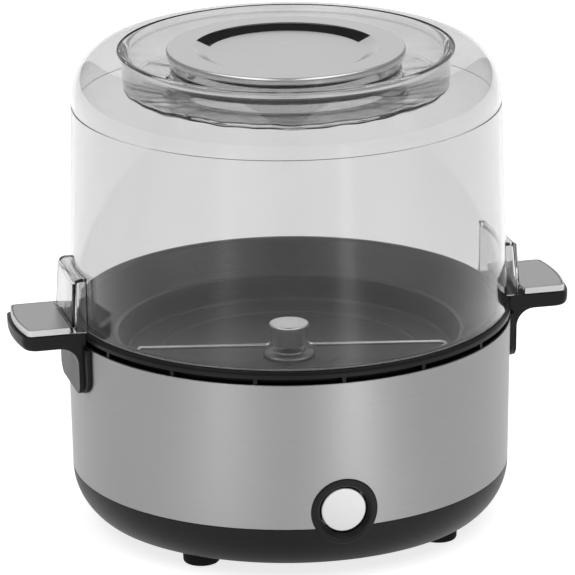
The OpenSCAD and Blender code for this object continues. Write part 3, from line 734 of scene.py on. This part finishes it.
def rounded_block(name, x, half, top, radius):
    """The bracket's block, rounded on its outer upright edges and along its top, with draft."""
    side = [(100, 110), (x, 110)] + arc(x - radius, top - radius, radius, 0, 90, 12) + [(100, top)]
    plan = ([(100, -half)] + arc(x - radius, radius - half, radius, -90, 0, 12)
            + arc(x - radius, half - radius, radius, 0, 90, 12) + [(100, half)])
    block = prism(name, side, -half - 1, half + 1, "y")
    combine(block, "INTERSECT", prism("plan", plan, LID_LOW, top + 2))
    # the draft starts at the shelf: 25 mm above it, it is 12 percent of the width and 1.3 mm of depth
    for vert in block.data.vertices:
        risen = max(vert.co.z / MM - 118, 0) / 25
        vert.co.y *= 1 - 0.12 * risen
        if vert.co.x > 112 * MM:
            vert.co.x -= 1.3 * MM * risen
    return block


def make_bracket():
    """One side bracket: a hollow block against the dome and a shelf with a shallow pocket."""
    half, wall, top, outer_x = GRIP_HALF_WIDTH, LID_WALL, 143.0, 119.2
    bracket = rounded_block("bracket", outer_x, half, top, 4)
    shelf = stacked("shelf", lambda inset: tongue(145 - inset, half - 0.2 - inset, 3 - inset, 117),
                    ((LID_LOW, 0.5), (LID_LOW + 0.15, 0.15), (LID_LOW + 0.5, 0),
                     (SHELF_TOP - 0.5, 0), (SHELF_TOP - 0.15, 0.15), (SHELF_TOP, 0.5)))
    combine(bracket, "UNION", shelf)
    inner = rounded_block("inner", outer_x - wall, half - wall, top - wall, 2.2)
    # a hair lower, so that its foot and the block's foot aren't in one plane
    inner.data.transform(Matrix.Translation((0, 0, -0.01 * MM)))
    pocket = prism("pocket", tongue(144, 22.3, 2, 120.2), SHELF_TOP - 1.2, 120)
    core = lathe("core", [(0, 100), (113.5, 100), (112.0, 160), (0, 160)])
    combine(bracket, "DIFFERENCE", inner)
    combine(bracket, "DIFFERENCE", pocket)
    combine(bracket, "DIFFERENCE", core)
    return bracket


def make_plate(name, turn, node):
    """Satin steel inlay on a shelf, its edge eased."""
    low, top = (corner.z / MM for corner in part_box(node))
    plate = stacked(name, lambda inset: tongue(143.9 - inset, 22.2 - inset, 1.9 - inset, 120.3 + inset),
                    ((low, 0.1), (low + 0.1, 0), (top - 0.3, 0), (top - 0.1, 0.12), (top, 0.4)))
    place(turn_z(plate, turn), "lid", "satin_steel", node)


def make_shelf_edge(name, turn):
    """Frosted band that runs round the open edge of a clear shelf."""
    band = prism(name, tongue(145.1, 23.4, 3, 121), LID_LOW + 0.25, 118.0)
    combine(band, "DIFFERENCE", prism("inner", tongue(144.3, 22.6, 2.3, 110), LID_LOW - 1, 120))
    place(turn_z(band, turn), "lid", "clear_plastic", material="frosted_edge")


# ---------------------------------------------------------------- cap

# how far the cap is turned at rest
CAP_TURN = -10.0
CAP_TOP, CAP_DISH = 251.4, 248.8
CUP_FLOOR = 243


def make_cap():
    """Pressed steel cover with a finger slot, the black grip under it and the clear cup."""
    sheet = 0.8
    cover = lathe("cap_cover_pressed", softened([
        (0, CAP_DISH - sheet, 0), (41.2, CAP_DISH - sheet, 1.2), (47.7, CAP_TOP - sheet, 0.8),
        (59.8, CAP_TOP - sheet, 1.0), (60.6, 248.2, 0.2), (59.9, 247.4, 0.2), (60.7, 247.4, 0.2),
        (61.4, 248.2, 0.3), (61.4, CAP_TOP, 1.9), (47.5, CAP_TOP, 1.4), (41, CAP_DISH, 1.6),
        (0, CAP_DISH, 0)], 8))
    sector = arc(0, 0, 47.9, 20, 160, 72) + arc(0, 0, 40.6, 160, 20, 72)
    combine(cover, "DIFFERENCE", prism("slot", sector, 240, 260))
    turn_z(cover, CAP_TURN)
    place(cover, "cap", "cap_steel", "cap_cover")
    grip = lathe("cap_grip_moulding", softened([
        (0, CUP_FLOOR, 0), (50, CUP_FLOOR, 0.4), (50, 250.6, 0.3), (48.5, 250.6, 0.3), (49, 244.5, 1.0),
        (39.5, 244.5, 1.0), (39.5, 248, 0.3), (0, 248, 0)]), 192)
    place(grip, "cap", "black_plastic", "cap_grip", material="grip_plastic")
    cup = lathe("measuring_cup_clear", softened([
        (57.6, 233.35, 0.3), (59.6, 233.35, 0.3), (59.6, 250.2, 0.3), (58.2, 250.2, 0.3),
        (58.2, CUP_FLOOR, 0), (0, CUP_FLOOR, 0), (0, 241, 0), (56.4, 241, 1.2), (57.6, 239.8, 0)]), 240)
    place(cup, "cap", "clear_plastic", "measuring_cup")


# ---------------------------------------------------------------- stage

def lamp(name, at, aim, width, height, watts, turn=0):
    """A soft box at a point, in metres, that shines towards another one. The camera doesn't see it."""
    data = bpy.data.lights.new(name, "AREA")
    data.shape = "RECTANGLE"
    data.size, data.size_y, data.energy = width, height, watts
    lit = bpy.data.objects.new(name, data)
    lit.location = at
    lit.rotation_euler = (Vector(aim) - Vector(at)).to_track_quat("-Z", "Y").to_euler()
    lit.rotation_euler.rotate_axis("Z", math.radians(turn))
    lit.visible_camera = False
    bpy.context.scene.collection.objects.link(lit)


def floor_material():
    """A light table: a white sheet lit from below, so that shadows on it stay pale.

    It is brighter along two tubes that run out from the object, to the left and the right of its front.
    """
    s = Shader("studio_floor", Emission_Color=(1, 1, 1, 1))
    glow = 0.78
    # each tube's direction in degrees from +X, half its width in metres, and how much it adds
    for turn, width, gain in ((-134.0, 0.075, 0.75), (-75.0, 0.065, 1.5)):
        along_tube, across_tube = s.turned_axis(turn), s.turned_axis(turn + 90)
        spread = s.math("DIVIDE", across_tube, width)
        hump = s.math("POWER", 2.718, s.math("MULTIPLY", s.math("MULTIPLY", spread, spread), -1.0))
        reach = s.node("MapRange", {"Value": along_tube, "From Min": 0.12, "From Max": 0.3}).outputs[0]
        glow = s.math("ADD", s.math("MULTIPLY", s.math("MULTIPLY", hump, reach), gain), glow)
    s.put(glow, s.bsdf.inputs["Emission Strength"])
    return s.finish(s.tint(s.noise(s.place, 3, 2), 0.50, 0.52), 0.9)


def set_stage():
    """The floor, the surroundings and the lamps. Places are in metres."""
    scene = bpy.context.scene
    scene.view_settings.view_transform = "Standard"
    world = bpy.data.worlds.new("studio")
    world.use_nodes = True
    world.node_tree.nodes["Background"].inputs[0].default_value = (0.4, 0.4, 0.4, 1)
    scene.world = world
    half = 30.0
    mesh = bpy.data.meshes.new("studio_floor")
    corners = [(-half, -half, 0), (half, -half, 0), (half, half, 0), (-half, half, 0)]
    mesh.from_pydata(corners, [], [(0, 1, 2, 3)])
    mesh.materials.append(floor_material())
    floor = bpy.data.objects.new("studio_floor", mesh)
    scene.collection.objects.link(floor)
    for side, x, y in (("left", -1.6, -0.64), ("right", 1.12, -1.3)):
        lamp("overhead_" + side, (x, y, 3.0), (x, y, 0), 1.9, 4.4, 46, turn=-14)
    lamp("back_wall", (0.75, 3.0, 1.25), (0, 0, 0.2), 2.4, 2.4, 9)


def set_camera():
    """The camera where the photograph was taken from, as fitted to the object's level circles."""
    data = bpy.data.cameras.new("camera")
    data.lens, data.sensor_width = 343.8, 36.0
    data.clip_start, data.clip_end = 0.05, 50
    camera = bpy.data.objects.new("camera", data)
    # the camera's axes and its place, in metres
    right = (0.9701, -0.2425, -0.0107)
    up = (0.0840, 0.2942, 0.9521)
    back = (-0.2278, -0.9245, 0.3057)
    spot = (-0.64912, -2.6328, 0.99267)
    camera.matrix_world = Matrix([*zip(right, up, back, spot), (0, 0, 0, 1)])
    bpy.context.scene.collection.objects.link(camera)
    bpy.context.scene.camera = camera


set_camera()
set_stage()
MATERIALS = make_materials()
dress_nodes(MATERIALS)
make_tray()
make_shell()
make_ring()
make_handle("base_handle_right_grip", 0, "base_handle_right")
make_handle("base_handle_left_grip", 180, "base_handle_left")
for foot_node, foot_turn in (("foot_front_right", -45), ("foot_back_right", 45),
                             ("foot_back_left", 135), ("foot_front_left", 225)):
    make_foot(foot_node + "_pad", foot_turn, foot_node)
make_pan()
make_bush()
make_stirrer()
make_button()
make_dome()
make_plate("lid_plate_right_inlay", 0, "lid_plate_right")
make_plate("lid_plate_left_inlay", 180, "lid_plate_left")
make_shelf_edge("lid_shelf_edge_right", 0)
make_shelf_edge("lid_shelf_edge_left", 180)
make_cap()
